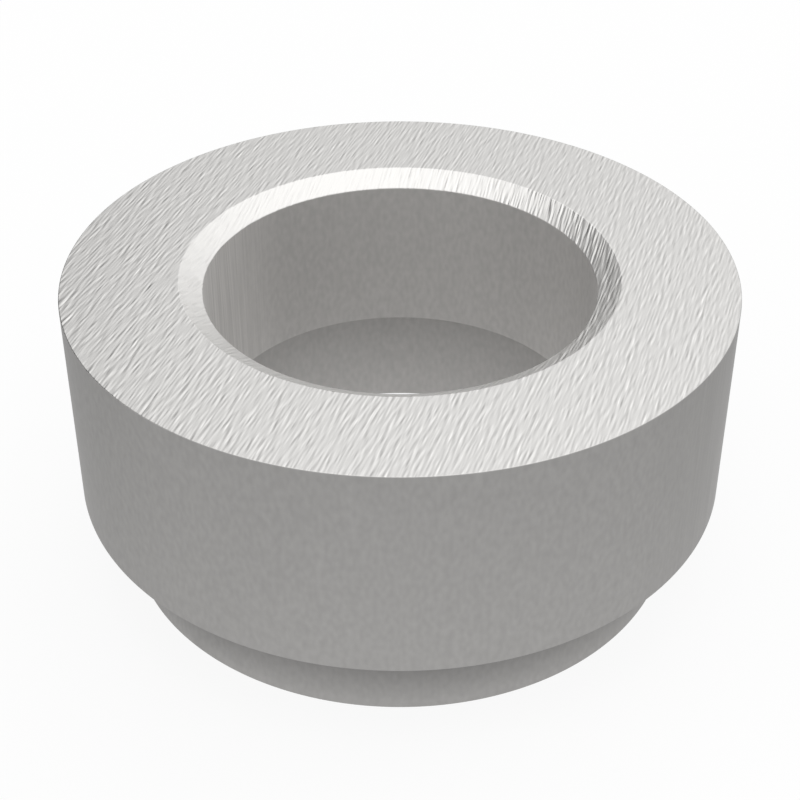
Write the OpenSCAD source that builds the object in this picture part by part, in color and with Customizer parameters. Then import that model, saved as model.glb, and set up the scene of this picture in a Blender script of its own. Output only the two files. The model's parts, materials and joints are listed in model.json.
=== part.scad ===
// Oxygen sensor weld bung, turned from one piece of steel bar.
// The pilot drops into a hole in the exhaust pipe, the shoulder rests on the pipe and is welded
// to it, and the sensor screws in from above until its washer seals on the top face.
// The axis is +Z and the origin is the centre of the pilot's end face. All sizes are millimetres.

/* [Collar] */
// Outside diameter of the collar
collar_d = 28; // [25:0.05:40]
// Height of the collar, from the shoulder up to the sealing face
collar_h = 9.3; // [4:0.05:25]

/* [Pilot] */
// Outside diameter of the pilot, which sits in the pipe's hole
pilot_d = 24.15; // [20.5:0.05:27.5]
// Height of the pilot below the shoulder
pilot_h = 3.9; // [0.5:0.05:10]

/* [Sensor thread] */
// Nominal diameter of the sensor's thread
thread_d = 18; // [10:0.5:21]
// Pitch of the sensor's thread
thread_pitch = 1.5; // [0.75:0.25:2.5]
// Depth of the threaded bore below the sealing face
thread_h = 7.55; // [2:0.05:12.5]

/* [Mouth] */
// Radial amount by which the countersunk mouth is wider than the thread
mouth_clearance = 0.15; // [0.05:0.05:2]
// Angle between the two sides of the countersink
mouth_angle = 120; // [60:1:150]

/* [Relief] */
// Radial gap between the thread and the wall of the relief below it
relief_clearance = 0.9; // [0.1:0.05:2.5]

/* [Edges] */
// Width of the edge break on the turned corners
edge_break = 0.05; // [0.01:0.01:0.4]

/* [Hidden] */
$fn = 144;

total_h = pilot_h + collar_h;
collar_r = collar_d / 2;
pilot_r = pilot_d / 2;
thread_r = thread_d / 2;

// A metric internal thread is 5/8 of its sharp triangle deep, so the bore is its minor diameter.
thread_triangle = thread_pitch * cos(30);
thread_depth = 5 / 8 * thread_triangle;
bore_r = thread_r - thread_depth;

mouth_r = thread_r + mouth_clearance;
mouth_h = (mouth_r - bore_r) / tan(mouth_angle / 2);

relief_r = thread_r + relief_clearance;
relief_h = total_h - thread_h;

// Half section of the ring as [radius, height], counter-clockwise from the pilot's inner corner.
// Each outside corner is two points, one edge break apart along both faces.
ring_section = [
    // Pilot: end face and outer wall
    [relief_r + edge_break, 0],
    [pilot_r - edge_break, 0],
    [pilot_r, edge_break],
    [pilot_r, pilot_h],
    // Collar: shoulder, outer wall and sealing face
    [collar_r - edge_break, pilot_h],
    [collar_r, pilot_h + edge_break],
    [collar_r, total_h - edge_break],
    [collar_r - edge_break, total_h],
    [mouth_r, total_h],
    // Threaded bore, from its countersunk mouth down to its lower edge
    [bore_r, total_h - mouth_h],
    [bore_r, relief_h + edge_break],
    [bore_r + edge_break, relief_h],
    // Relief: ledge under the thread and inner wall
    [relief_r, relief_h],
    [relief_r, edge_break],
];

module weld_bung() {
    color([0.71, 0.71, 0.70])
        rotate_extrude()
            polygon(ring_section);
}

weld_bung();
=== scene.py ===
"""Looks of an oxygen sensor weld bung: a turned steel ring with a brushed face, on a white floor."""

import json
import math

import bpy
import numpy as np
from bpy.props import FloatProperty, FloatVectorProperty, IntProperty, PointerProperty
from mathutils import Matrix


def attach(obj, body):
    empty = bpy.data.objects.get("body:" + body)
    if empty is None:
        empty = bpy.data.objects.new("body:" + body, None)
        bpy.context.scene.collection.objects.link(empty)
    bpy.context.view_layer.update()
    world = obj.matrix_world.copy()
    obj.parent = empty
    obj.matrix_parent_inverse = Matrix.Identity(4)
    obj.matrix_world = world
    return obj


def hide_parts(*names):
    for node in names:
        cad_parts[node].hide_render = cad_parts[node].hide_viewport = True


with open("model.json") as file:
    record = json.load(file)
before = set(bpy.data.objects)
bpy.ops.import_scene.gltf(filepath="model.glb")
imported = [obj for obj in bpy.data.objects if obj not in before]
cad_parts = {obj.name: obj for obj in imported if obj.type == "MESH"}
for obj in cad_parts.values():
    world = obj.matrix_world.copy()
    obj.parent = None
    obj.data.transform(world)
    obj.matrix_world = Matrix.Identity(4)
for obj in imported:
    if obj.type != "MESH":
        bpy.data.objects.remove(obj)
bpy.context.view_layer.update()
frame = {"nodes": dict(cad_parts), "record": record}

bl_info = {
    "name": "Oxygen Sensor Bung",
    "version": (1, 0, 0),
    "blender": (4, 5, 0),
    "location": "3D View > Sidebar > Bung",
    "description": "Turns the weld bung's ring, gives it its steel finish and sets the studio round it",
    "category": "Add Mesh",
}

NODE = "weld_bung"
BODY = "root"
PIECE = "turned_ring"
# Attributes of the ring that its steel reads: those of each face, and the distance from the corner under
# the shoulder, which sets the painted shade in that corner
# Of these marks, the strokes' one paints light and shade on the brushed strokes, right and left paint light
# and shade on the walls' flanks, streak is partly grain and partly painted light, and tone is partly each
# face's own finish and partly painted light and shade
FACE_MARKS = ("grain", "scratch", "tone", "roughness", "wall", "streak", "right", "left")
MARKS = (*FACE_MARKS, "corner")
# Lengths in metres
TINY = 1e-6
NEAR_CLIP = 0.001
RIGHT_ANGLE = math.pi / 2
# Elevation of an isometric view, in degrees
ISOMETRIC = math.degrees(math.atan(1 / math.sqrt(2)))
# Mean level of a noise, and its share of finer noise
NOISE_MIDDLE = 0.5
NOISE_DETAIL = 0.5
# Power that gives a square root
ROOT = 0.5
# Places of the colour sockets of a Mix node
MIX_FIRST, MIX_SECOND, MIX_RESULT = 6, 7, 2


def measure_ring():
    """Sizes of the CAD ring in metres, read from the radius and height of its vertices."""
    mesh = frame["nodes"][NODE].data
    flat = np.empty(len(mesh.vertices) * 3, np.float32)
    mesh.vertices.foreach_get("co", flat)
    x, y, height = flat.reshape(-1, 3).T.astype(float)
    radius = np.hypot(x, y)
    top = height.max()
    bore = radius.min()
    bore_heights = height[radius < bore + TINY]
    shoulder = next(m["pos_m"][2] for m in frame["record"]["mounts"] if m["name"] == "weld_shoulder")
    below = height < shoulder - TINY
    return {
        "collar_radius": radius.max(),
        "pilot_radius": radius[below].max(),
        "mouth_radius": radius[height > top - TINY].min(),
        "bore_radius": bore,
        "relief_radius": radius[below].min(),
        "top_height": top,
        "mouth_height": bore_heights.max(),
        "ledge_height": height[(radius > bore + TINY) & (height < bore_heights.min())].max(),
        "shoulder_height": shoulder,
    }


CAD_RING = measure_ring()


def length_prop(name, description, default):
    """A property that holds a length in metres."""
    return FloatProperty(name=name, description=description, default=default, unit="LENGTH", precision=6)


def level_prop(name, description, default):
    """A property that holds a plain number."""
    return FloatProperty(name=name, description=description, default=default, precision=4)


def angle_prop(name, description, degrees):
    """A property that holds an angle."""
    return FloatProperty(name=name, description=description, default=math.radians(degrees), subtype="ANGLE")


def colour_prop(name, description, default):
    """A property that holds a linear colour."""
    return FloatVectorProperty(
        name=name, description=description, default=default, subtype="COLOR", size=3, min=0, max=1
    )


class RingSizes(bpy.types.PropertyGroup):
    """Sizes of the turned ring, taken from the CAD part."""

    collar_radius: length_prop("Collar radius", "Outside of the collar", CAD_RING["collar_radius"])
    pilot_radius: length_prop("Pilot radius", "Outside of the pilot", CAD_RING["pilot_radius"])
    mouth_radius: length_prop("Mouth radius", "Countersink at the sealing face", CAD_RING["mouth_radius"])
    bore_radius: length_prop("Bore radius", "Wall of the threaded bore", CAD_RING["bore_radius"])
    relief_radius: length_prop("Relief radius", "Wall of the relief", CAD_RING["relief_radius"])
    top_height: length_prop("Top height", "Sealing face above the pilot's end", CAD_RING["top_height"])
    mouth_height: length_prop("Mouth height", "Lower edge of the countersink", CAD_RING["mouth_height"])
    ledge_height: length_prop("Ledge height", "Ledge between bore and relief", CAD_RING["ledge_height"])
    shoulder_height: length_prop("Shoulder height", "Underside of the collar", CAD_RING["shoulder_height"])
    edge_break: length_prop("Edge break", "Width of the eased corners along each face", 0.00004)
    edge_steps: IntProperty(name="Edge steps", description="Faces across an eased corner", default=4, min=1)
    sides: IntProperty(name="Sides", description="Faces round the ring", default=480, min=48)


class SteelFinish(bpy.types.PropertyGroup):
    """Colours and surface of the steel, and the light and shade painted into its colour."""

    steel: colour_prop("Steel", "Colour of the brushed faces", (0.6125, 0.605, 0.5925))
    skin: colour_prop("Skin", "Colour of the steel on the walls", (0.6160, 0.605, 0.5925))
    edge_tint: colour_prop("Edge tint", "Brightness of the steel seen at a low angle", (0.80, 0.80, 0.80))
    # The tones are partly each face's own finish and partly painted light and shade, which lightens the
    # countersink and the bore and darkens the walls outside, the pilot and the relief
    face_tone: level_prop("Face tone", "Brightness of the sealing face beside the plain steel", 0.94)
    mouth_tone: level_prop("Mouth tone", "Brightness of the countersink beside the plain steel", 1.165)
    skin_tone: level_prop("Skin tone", "Brightness of the collar beside the plain steel", 0.665)
    pilot_tone: level_prop("Pilot tone", "Brightness of the pilot beside the plain steel", 0.634)
    bore_tone: level_prop("Bore tone", "Brightness of the bore beside the plain steel", 1.035)
    relief_tone: level_prop("Relief tone", "Brightness of the relief beside the plain steel", 0.905)
    face_roughness: level_prop("Face roughness", "Roughness of the brushed sealing face", 0.28)
    mouth_roughness: level_prop("Mouth roughness", "Roughness of the brushed countersink", 0.45)
    skin_roughness: level_prop("Skin roughness", "Roughness of the walls outside", 0.50)
    bore_roughness: level_prop("Bore roughness", "Roughness of the bore and the relief", 0.75)
    grain_angle: angle_prop("Grain angle", "Direction of the brushing, from +X", 72)
    stroke_width: length_prop("Stroke width", "Size of a brushed stroke across", 0.000125)
    stroke_length: length_prop("Stroke length", "Size of a brushed stroke along", 0.001)
    patch_width: length_prop("Patch width", "Size across of the patches that break the strokes", 0.00035)
    patch_length: length_prop("Patch length", "Size along of the patches that break the strokes", 0.0008)
    patch_floor: level_prop("Patch floor", "Level of the patches below which the steel is smooth", 0.1)
    face_depth: length_prop("Face depth", "Height of the grain on the sealing face", 0.00004)
    mouth_depth: length_prop("Mouth depth", "Height of the grain in the countersink", 0.000125)
    # The strokes' slope is painted light and shade: it lightens the strokes on one side and darkens them on
    # the other, as if lit from one side
    scratch_shift: length_prop("Scratch shift", "Step over which the strokes' slope is taken", 0.00004)
    face_scratch: level_prop("Face scratch", "How far the strokes change the sealing face's colour", 2.3)
    mouth_scratch: level_prop("Mouth scratch", "How far the strokes change the countersink's colour", 0.6)
    mottle_width: length_prop("Mottle width", "Size of the walls' mottling round the ring", 0.0002)
    mottle_height: length_prop("Mottle height", "Size of the walls' mottling along the axis", 0.00036)
    mottle_share: level_prop("Mottle share", "How far the mottling changes the walls' colour", 0.17)
    # The upright streaks are partly grain and partly painted light: they show only where a wall faces
    # right, where the light brings them out
    streak_width: length_prop("Streak width", "Size of the walls' upright streaks across", 0.0001)
    streak_length: length_prop("Streak length", "Size of the walls' upright streaks along", 0.0040)
    skin_streak: level_prop("Skin streak", "How far the streaks change the outside's colour", 0.22)
    bore_streak: level_prop("Bore streak", "How far the streaks change the bore's colour", 0.35)
    # The flanks are painted light and shade: a wall is painted lighter or darker where it faces right or
    # left
    flank_start: level_prop("Flank start", "Share of a wall's turn sideways at which its flank begins", 0.6)
    flank_end: level_prop("Flank end", "Share of a wall's turn sideways at which its flank is full", 1.0)
    painted_skin_left: level_prop("Skin left", "Brightness that the outside gains where it faces left", -0.085)
    painted_skin_right: level_prop("Skin right", "Brightness that the outside gains where it faces right", -0.04)
    painted_bore_left: level_prop("Bore left", "Brightness that the bore gains where it faces left", 0.09)
    painted_bore_right: level_prop("Bore right", "Brightness that the bore gains where it faces right", 0.18)
    # Painted shade: the walls are painted darker upwards
    painted_wall_shade: level_prop("Wall fade", "How far the walls darken from the pilot's end up to the top", 0.15)
    # Painted shade: the steel is painted darker in the corner under the shoulder
    painted_corner_shade: level_prop("Corner dark", "How far the steel darkens in the shoulder's corner", 0.7)
    painted_shade_reach: length_prop("Corner reach", "How far the dark reaches from that corner", 0.0036)


class StudioSetup(bpy.types.PropertyGroup):
    """Floor, light and camera."""

    floor: colour_prop("Floor", "Colour of the pale floor under the studio's light", (0.8, 0.8, 0.8))
    backdrop: colour_prop("Backdrop", "White of the floor as the camera sees it", (1.0, 1.0, 1.0))
    floor_reach: length_prop("Floor reach", "Half the side of the floor", 4.0)
    floor_drop: length_prop("Floor drop", "Gap that keeps the floor clear of the pilot's end", 0.00001)
    shadow_share: level_prop("Shadow share", "Share of the floor's look that takes shadow", 0.1)
    horizon: level_prop("Horizon", "Brightness of the studio's dome at the horizon", 0.86)
    zenith: level_prop("Zenith", "Brightness that the dome gains towards the zenith", 0.834)
    slant: level_prop("Slant", "Brightness that the dome gains towards the right", 0.04)
    back_slant: level_prop("Back slant", "How far that slant grows towards the back", 0.26)
    window: level_prop("Window", "Brightness that a soft window at the back adds", 0.105)
    window_lift: angle_prop("Window lift", "Angle of the window's middle above the floor", 45)
    window_inner: angle_prop("Window inner", "Angle from its middle out to which the window is full", 20)
    window_outer: angle_prop("Window outer", "Angle from its middle at which the window has faded out", 40)
    card: level_prop("Card", "Share of the light that a dark card at the left takes away", 1.0)
    card_turn: angle_prop("Card turn", "Direction of the card's middle, from +X", 143)
    card_lift: angle_prop("Card lift", "Angle of the card's middle above the floor", 12)
    card_inner: angle_prop("Card inner", "Angle from its middle out to which the card is full", 15)
    card_outer: angle_prop("Card outer", "Angle from its middle at which the card has faded out", 46)
    crown: level_prop("Crown", "Share of the light that a card overhead takes away", 0.09)
    crown_inner: angle_prop("Crown inner", "Angle from the zenith out to which that card is full", 8)
    crown_outer: angle_prop("Crown outer", "Angle from the zenith at which that card has faded out", 38)
    light: colour_prop("Light", "Colour of the studio's light", (1.0, 1.0, 1.0))
    aim_height: length_prop("Aim height", "Height on the axis that the camera looks at", 0.00658)
    distance: length_prop("Distance", "From the camera to that point", 0.07287)
    elevation: angle_prop("Elevation", "Angle of the camera above the floor", ISOMETRIC)
    lens: FloatProperty(name="Lens", description="Focal length", default=74.88, unit="CAMERA")


class Wire:
    """An output of a node. Operators on wires add Math nodes, and node() adds any other."""

    def __init__(self, tree, socket=None):
        self.tree = tree
        self.socket = socket

    def node(self, kind, settings=None, inputs=None, output=0):
        """Adds a node, sets its settings, then its sockets' values or links, and gives one output."""
        made = self.tree.nodes.new(kind)
        for name, value in (settings or {}).items():
            setattr(made, name, value)
        for name, value in (inputs or {}).items():
            if isinstance(value, Wire):
                self.tree.links.new(value.socket, made.inputs[name])
            else:
                made.inputs[name].default_value = value
        return Wire(self.tree, made.outputs[output] if made.outputs else None)

    def math(self, operation, first, second):
        """A Math node on two values or wires."""
        return self.node("ShaderNodeMath", {"operation": operation}, {0: first, 1: second})

    def parts(self):
        """The X, Y and Z of a vector, as three wires."""
        split = self.node("ShaderNodeSeparateXYZ", None, {0: self}).socket.node
        return [Wire(self.tree, part) for part in split.outputs]

    def smooth_step(self, low, high):
        """0 up to low, 1 from high on, and a smooth rise between them."""
        inputs = {"Value": self, "From Min": low, "From Max": high}
        return self.node("ShaderNodeMapRange", {"interpolation_type": "SMOOTHSTEP"}, inputs)

    def __add__(self, other):
        return self.math("ADD", self, other)

    def __radd__(self, other):
        return self.math("ADD", other, self)

    def __sub__(self, other):
        return self.math("SUBTRACT", self, other)

    def __rsub__(self, other):
        return self.math("SUBTRACT", other, self)

    def __mul__(self, other):
        return self.math("MULTIPLY", self, other)

    def __rmul__(self, other):
        return self.math("MULTIPLY", other, self)

    def __truediv__(self, other):
        return self.math("DIVIDE", self, other)

    def __rtruediv__(self, other):
        return self.math("DIVIDE", other, self)


def opaque(colour):
    """The four numbers of a colour property, for a shader socket."""
    return (*colour, 1.0)


def empty_tree(owner):
    """The emptied node tree of a material or world, as a wire to build from."""
    owner.use_nodes = True
    owner.node_tree.nodes.clear()
    return Wire(owner.node_tree)


def stretched_noise(place, size, turn=0, shift=(0, 0, 0)):
    """Noise whose blots measure size along X, Y and Z, on coordinates turned about +Z, and then shifted."""
    inputs = {"Vector": place, "Location": shift, "Rotation": (0, 0, turn), "Scale": size}
    coords = place.node("ShaderNodeMapping", {"vector_type": "TEXTURE"}, inputs)
    return place.node("ShaderNodeTexNoise", None, {"Vector": coords, "Scale": 1, "Detail": NOISE_DETAIL})


def brush_strokes(place, finish):
    """Height of the brushed strokes about their mean, and their slope across, which is the difference of
    two noises a small step apart and serves as painted light and shade on the strokes. Both come and go in
    patches."""
    across = finish.grain_angle - RIGHT_ANGLE
    size = (finish.stroke_width, finish.stroke_length, 1)
    shift = (finish.scratch_shift * math.cos(across), finish.scratch_shift * math.sin(across), 0)
    stroke = stretched_noise(place, size, across)
    beside = stretched_noise(place, size, across, shift)
    patch = stretched_noise(place, (finish.patch_width, finish.patch_length, 1), across)
    brushed = place.math("MAXIMUM", patch - finish.patch_floor, 0)
    return (stroke - NOISE_MIDDLE) * brushed, (beside - stroke) * brushed


def wall_changes(place, finish, top_height, wall, streak_share, right, left):
    """Share by which a wall's brightness changes: it is mottled, streaked upright where it faces right,
    painted darker upwards as painted shade, and painted lighter or darker on its flanks as painted light
    and shade. The streaks are partly grain and partly painted light. The wall mark is 1 outside, -1 inside
    and 0 elsewhere."""
    mottle = stretched_noise(place, (finish.mottle_width, finish.mottle_width, finish.mottle_height))
    streak = stretched_noise(place, (finish.streak_width, finish.streak_width, finish.streak_length))
    x, y, z = place.parts()
    # Painted light and shade on the flanks that face right and left
    turned = wall * x / place.math("POWER", x * x + y * y, ROOT)
    to_right = turned.smooth_step(finish.flank_start, finish.flank_end)
    to_left = (0 - turned).smooth_step(finish.flank_start, finish.flank_end)
    # Mottling gives way to upright streaks on the flank facing right; the streaks are partly grain and
    # partly painted light
    mottled = (mottle - NOISE_MIDDLE) * finish.mottle_share * (1 - to_right)
    streaked = (streak - NOISE_MIDDLE) * streak_share * to_right
    # Painted shade: darker upwards
    upward_shade = z * (finish.painted_wall_shade / top_height)
    return wall * wall * (mottled + streaked - upward_shade) + right * to_right + left * to_left


def turned_steel(finish, top_height):
    """Steel whose finish is set face by face through the ring's marks, some of which are painted light and
    shade. The strokes' slope, as painted light and shade, and the walls' changes act on its tone, the
    strokes' height on its bump, and painted shade darkens it in the shoulder's corner."""
    material = bpy.data.materials.new("turned_steel")
    start = empty_tree(material)
    grain, scratch, tone, roughness, wall, streak_share, right, left, corner = (
        start.node("ShaderNodeAttribute", {"attribute_name": name}, output="Fac") for name in MARKS
    )
    place = start.node("ShaderNodeTexCoord", output="Object")
    height, slope = brush_strokes(place, finish)
    # The strokes' slope paints light and shade on the strokes
    uneven = wall_changes(place, finish, top_height, wall, streak_share, right, left) + slope * scratch
    # Painted shade in the corner under the shoulder
    unshaded = start.math("MINIMUM", corner / finish.painted_shade_reach, 1)
    level = tone * (1 + uneven) * (1 - finish.painted_corner_shade + unshaded * finish.painted_corner_shade)
    tint = start.node(
        "ShaderNodeMix",
        {"data_type": "RGBA"},
        {"Factor": wall * wall, MIX_FIRST: opaque(finish.steel), MIX_SECOND: opaque(finish.skin)},
        output=MIX_RESULT,
    )
    colour = start.node("ShaderNodeVectorMath", {"operation": "SCALE"}, {0: tint, "Scale": level})
    bump = start.node("ShaderNodeBump", None, {"Height": height * grain, "Distance": 1, "Strength": 1})
    surface = start.node(
        "ShaderNodeBsdfPrincipled",
        None,
        {
            "Base Color": colour,
            "Metallic": 1,
            "Roughness": roughness,
            "Specular Tint": opaque(finish.edge_tint),
            "Normal": bump,
        },
    )
    start.node("ShaderNodeOutputMaterial", None, {"Surface": surface})
    return material


def studio_floor(studio):
    """A pale floor that shows as the white backdrop to the camera and in the metal, and keeps a soft
    shadow. From below it is clear, so that the underside can be seen."""
    material = bpy.data.materials.new("studio_floor")
    start = empty_tree(material)
    seen = [
        start.node("ShaderNodeLightPath", output=name)
        for name in ("Is Camera Ray", "Is Glossy Ray", "Is Transmission Ray")
    ]
    shown = start.math("MINIMUM", seen[0] + seen[1] + seen[2], 1)
    pale = start.node("ShaderNodeBsdfDiffuse", None, {"Color": opaque(studio.floor)})
    white = start.node("ShaderNodeEmission", None, {"Color": opaque(studio.backdrop)})
    mixed = start.node(
        "ShaderNodeMixShader", None, {"Fac": shown * (1 - studio.shadow_share), 1: pale, 2: white}
    )
    below = start.node("ShaderNodeNewGeometry", output="Backfacing")
    clear = start.node("ShaderNodeBsdfTransparent")
    one_sided = start.node("ShaderNodeMixShader", None, {"Fac": below, 1: mixed, 2: clear})
    start.node("ShaderNodeOutputMaterial", None, {"Surface": one_sided})
    return material


def soft_disc(direction, turn, lift, inner, outer):
    """1 within the inner angle of the direction that turn and lift give, fading to 0 at the outer angle."""
    ahead = math.cos(lift)
    middle = (ahead * math.cos(turn), ahead * math.sin(turn), math.sin(lift))
    towards = direction.node(
        "ShaderNodeVectorMath", {"operation": "DOT_PRODUCT"}, {0: direction, 1: middle}, output="Value"
    )
    return towards.smooth_step(math.cos(outer), math.cos(inner))


def studio_dome(studio):
    """A soft dome of light: horizon + zenith * z squared + x * (slant + back_slant * y), for the direction
    (x, y, z), and a soft-edged window at the back, less the shares that two soft-edged dark cards take
    away, one at the left and one overhead."""
    world = bpy.data.worlds.new("studio_dome")
    start = empty_tree(world)
    direction = start.node("ShaderNodeTexCoord", output="Generated")
    x, y, z = direction.parts()
    open_dome = z * z * studio.zenith + x * (y * studio.back_slant + studio.slant) + studio.horizon
    card = soft_disc(direction, studio.card_turn, studio.card_lift, studio.card_inner, studio.card_outer)
    crown = soft_disc(direction, 0, RIGHT_ANGLE, studio.crown_inner, studio.crown_outer)
    window = soft_disc(direction, RIGHT_ANGLE, studio.window_lift, studio.window_inner, studio.window_outer)
    lit = open_dome + window * studio.window
    level = lit * (1 - card * studio.card) * (1 - crown * studio.crown)
    glow = start.node("ShaderNodeBackground", None, {"Color": opaque(studio.light), "Strength": level})
    start.node("ShaderNodeOutputWorld", None, {"Surface": glow})
    return world


def face_marks(**given):
    """The marks of one face in their order, where a mark that isn't given is 0."""
    return [given.get(name, 0) for name in FACE_MARKS]


def ring_corners(sizes, finish):
    """Corners of the half section as rows of radius and height, counter-clockwise from the pilot's inner
    corner, and the marks of the face that follows each corner."""
    # These marks carry painted light and shade: the strokes' slope, the walls' flanks and streaks, and part
    # of each tone
    sealing_face = face_marks(
        grain=finish.face_depth,
        scratch=finish.face_scratch,
        tone=finish.face_tone,
        roughness=finish.face_roughness,
    )
    mouth = face_marks(
        grain=finish.mouth_depth,
        scratch=finish.mouth_scratch,
        tone=finish.mouth_tone,
        roughness=finish.mouth_roughness,
    )
    collar, pilot = (
        face_marks(
            tone=tone,
            roughness=finish.skin_roughness,
            wall=1,
            streak=finish.skin_streak,
            right=finish.painted_skin_right,
            left=finish.painted_skin_left,
        )
        for tone in (finish.skin_tone, finish.pilot_tone)
    )
    bore = face_marks(
        tone=finish.bore_tone,
        roughness=finish.bore_roughness,
        wall=-1,
        streak=finish.bore_streak,
        right=finish.painted_bore_right,
        left=finish.painted_bore_left,
    )
    relief = face_marks(
        tone=finish.relief_tone, roughness=finish.bore_roughness, wall=-1, streak=finish.bore_streak
    )
    rows = [
        (sizes.relief_radius, 0, *pilot),
        (sizes.pilot_radius, 0, *pilot),
        (sizes.pilot_radius, sizes.shoulder_height, *collar),
        (sizes.collar_radius, sizes.shoulder_height, *collar),
        (sizes.collar_radius, sizes.top_height, *sealing_face),
        (sizes.mouth_radius, sizes.top_height, *mouth),
        (sizes.bore_radius, sizes.mouth_height, *bore),
        (sizes.bore_radius, sizes.ledge_height, *relief),
        (sizes.relief_radius, sizes.ledge_height, *relief),
    ]
    table = np.array(rows, float)
    return table[:, :2], table[:, 2:]


def unit(vectors):
    """The vectors scaled to length 1, along the last axis."""
    return vectors / np.linalg.norm(vectors, axis=-1, keepdims=True)


def eased_section(corners, finishes, reach, steps):
    """The section with each corner C eased into a parabola from A to B, one reach along its two faces:
    (1-t)^2 A + 2t(1-t) C + t^2 B. Gives the points, their outward normals and their marks."""
    back = unit(np.roll(corners, 1, axis=0) - corners)[:, None]
    ahead = unit(np.roll(corners, -1, axis=0) - corners)[:, None]
    corner = corners[:, None]
    t = np.linspace(0, 1, steps + 1)[None, :, None]
    points = (1 - t) ** 2 * (corner + reach * back) + 2 * t * (1 - t) * corner
    points = points + t**2 * (corner + reach * ahead)
    along = t * ahead - (1 - t) * back
    normals = unit(np.stack([along[..., 1], -along[..., 0]], axis=-1))
    shares = (1 - t) * np.roll(finishes, 1, axis=0)[:, None] + t * finishes[:, None]
    return points.reshape(-1, 2), normals.reshape(-1, 2), shares.reshape(-1, finishes.shape[1])


def carried_round(section, sides):
    """Rows (r, h) of the section carried round +Z: at angle a each lies at (r cos a, r sin a, h)."""
    angle = np.arange(sides) * (2 * math.pi / sides)
    radius, height = section[:, :1], section[:, 1:]
    flat = np.zeros(sides)
    return np.stack([radius * np.cos(angle), radius * np.sin(angle), height + flat], axis=-1).reshape(-1, 3)


def wrapped_quads(rows, sides):
    """Faces of a grid of rows and sides that closes on itself both ways, wound to face outwards."""
    row = np.arange(rows)[:, None]
    side = np.arange(sides)[None, :]
    row_on = (row + 1) % rows
    side_on = (side + 1) % sides
    quads = [row * sides + side, row * sides + side_on, row_on * sides + side_on, row_on * sides + side]
    return np.stack(quads, axis=-1).reshape(-1, 4)


class BUNG_OT_turn_ring(bpy.types.Operator):
    """Turn the ring from its section and give it its steel"""

    bl_idname = "bung.turn_ring"
    bl_label = "Turn Ring"

    def execute(self, context):
        sizes = context.scene.bung_sizes
        finish = context.scene.bung_finish
        corners, finishes = ring_corners(sizes, finish)
        section, normals, shares = eased_section(corners, finishes, sizes.edge_break, sizes.edge_steps)
        # Distance from the corner under the shoulder, which sets the painted shade there
        inner_corner = np.array([sizes.pilot_radius, sizes.shoulder_height])
        corner = np.linalg.norm(section - inner_corner, axis=1)
        corner[section[:, 1] > sizes.shoulder_height + TINY] = sizes.top_height
        marks = dict(zip(MARKS, (*shares.T, corner)))
        mesh = bpy.data.meshes.new(PIECE)
        mesh.from_pydata(carried_round(section, sizes.sides), [], wrapped_quads(len(section), sizes.sides))
        mesh.shade_smooth()
        mesh.normals_split_custom_set_from_vertices(carried_round(normals, sizes.sides))
        for name, values in marks.items():
            all_round = np.repeat(values, sizes.sides).astype(np.float32)
            mesh.attributes.new(name, "FLOAT", "POINT").data.foreach_set("value", all_round)
        if mesh.validate():
            raise RuntimeError("the turned ring has faults in its mesh")
        mesh.materials.append(turned_steel(finish, sizes.top_height))
        ring = bpy.data.objects.new(PIECE, mesh)
        context.collection.objects.link(ring)
        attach(ring, BODY)
        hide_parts(NODE)
        return {"FINISHED"}


class BUNG_OT_set_studio(bpy.types.Operator):
    """Lay the floor, light the dome and place the camera"""

    bl_idname = "bung.set_studio"
    bl_label = "Set Studio"

    def execute(self, context):
        studio = context.scene.bung_studio
        reach = studio.floor_reach
        low = -studio.floor_drop
        corners = [(-reach, -reach, low), (reach, -reach, low), (reach, reach, low), (-reach, reach, low)]
        mesh = bpy.data.meshes.new("floor")
        mesh.from_pydata(corners, [], [(0, 1, 2, 3)])
        mesh.materials.append(studio_floor(studio))
        floor = bpy.data.objects.new("floor", mesh)
        context.collection.objects.link(floor)
        context.scene.world = studio_dome(studio)
        context.scene.view_settings.view_transform = "Standard"
        camera = bpy.data.objects.new("camera", bpy.data.cameras.new("camera"))
        camera.data.lens = studio.lens
        camera.data.clip_start = NEAR_CLIP
        camera.location = (
            0,
            -studio.distance * math.cos(studio.elevation),
            studio.aim_height + studio.distance * math.sin(studio.elevation),
        )
        camera.rotation_euler = (RIGHT_ANGLE - studio.elevation, 0, 0)
        context.collection.objects.link(camera)
        context.scene.camera = camera
        return {"FINISHED"}


class BUNG_PT_panel(bpy.types.Panel):
    """The bung's sizes, finish and studio"""

    bl_idname = "BUNG_PT_panel"
    bl_label = "Oxygen Sensor Bung"
    bl_space_type = "VIEW_3D"
    bl_region_type = "UI"
    bl_category = "Bung"

    def draw(self, context):
        for group in (context.scene.bung_sizes, context.scene.bung_finish, context.scene.bung_studio):
            box = self.layout.box()
            for name in group.bl_rna.properties.keys():
                if name not in ("rna_type", "name"):
                    box.prop(group, name)
        for operator in STEPS:
            self.layout.operator(operator.bl_idname)


STEPS = (BUNG_OT_turn_ring, BUNG_OT_set_studio)
GROUPS = {"bung_sizes": RingSizes, "bung_finish": SteelFinish, "bung_studio": StudioSetup}
CLASSES = (*GROUPS.values(), *STEPS, BUNG_PT_panel)


def register():
    """Registers the classes and puts the property groups on the scene."""
    for item in CLASSES:
        bpy.utils.register_class(item)
    for name, group in GROUPS.items():
        setattr(bpy.types.Scene, name, PointerProperty(type=group))


def unregister():
    """Takes the property groups and classes away again."""
    for name in GROUPS:
        delattr(bpy.types.Scene, name)
    for item in reversed(CLASSES):
        bpy.utils.unregister_class(item)


def main():
    register()
    bpy.ops.bung.turn_ring()
    bpy.ops.bung.set_studio()


if __name__ == "__main__":
    main()
